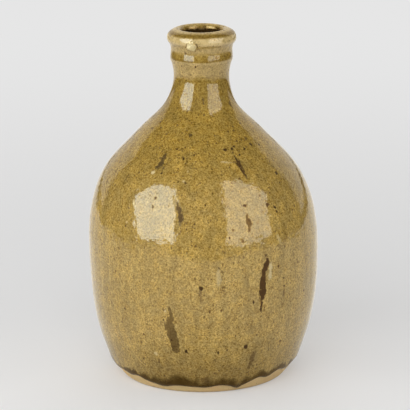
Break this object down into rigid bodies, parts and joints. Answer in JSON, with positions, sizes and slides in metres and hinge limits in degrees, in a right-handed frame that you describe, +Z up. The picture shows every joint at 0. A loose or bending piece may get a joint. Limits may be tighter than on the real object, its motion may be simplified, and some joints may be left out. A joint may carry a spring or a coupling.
{
  "type": "celadon bottle",
  "caption": "Thrown stoneware bottle with an olive celadon glaze, a full rounded body, a short collared neck and a rolled lip, for storing and pouring drink.",
  "frame": {"origin": "on the axis of the bottle, in the plane that the foot ring stands on", "axes": "+Z up along the axis of the bottle, -Y towards the side that the picture shows, +X to that side's right"},
  "size_m": [0.1432, 0.1432, 0.2201],
  "materials": {
    "bare_stoneware": "matte",
    "olive_glaze": "gloss",
    "lining_glaze": "gloss",
    "fused_grit": "satin"
  },
  "bodies": {
    "root": {"stoneware_body": "bare_stoneware", "outer_glaze": "olive_glaze", "inner_glaze": "lining_glaze", "kiln_grit": "fused_grit"}
  },
  "joints": []
}
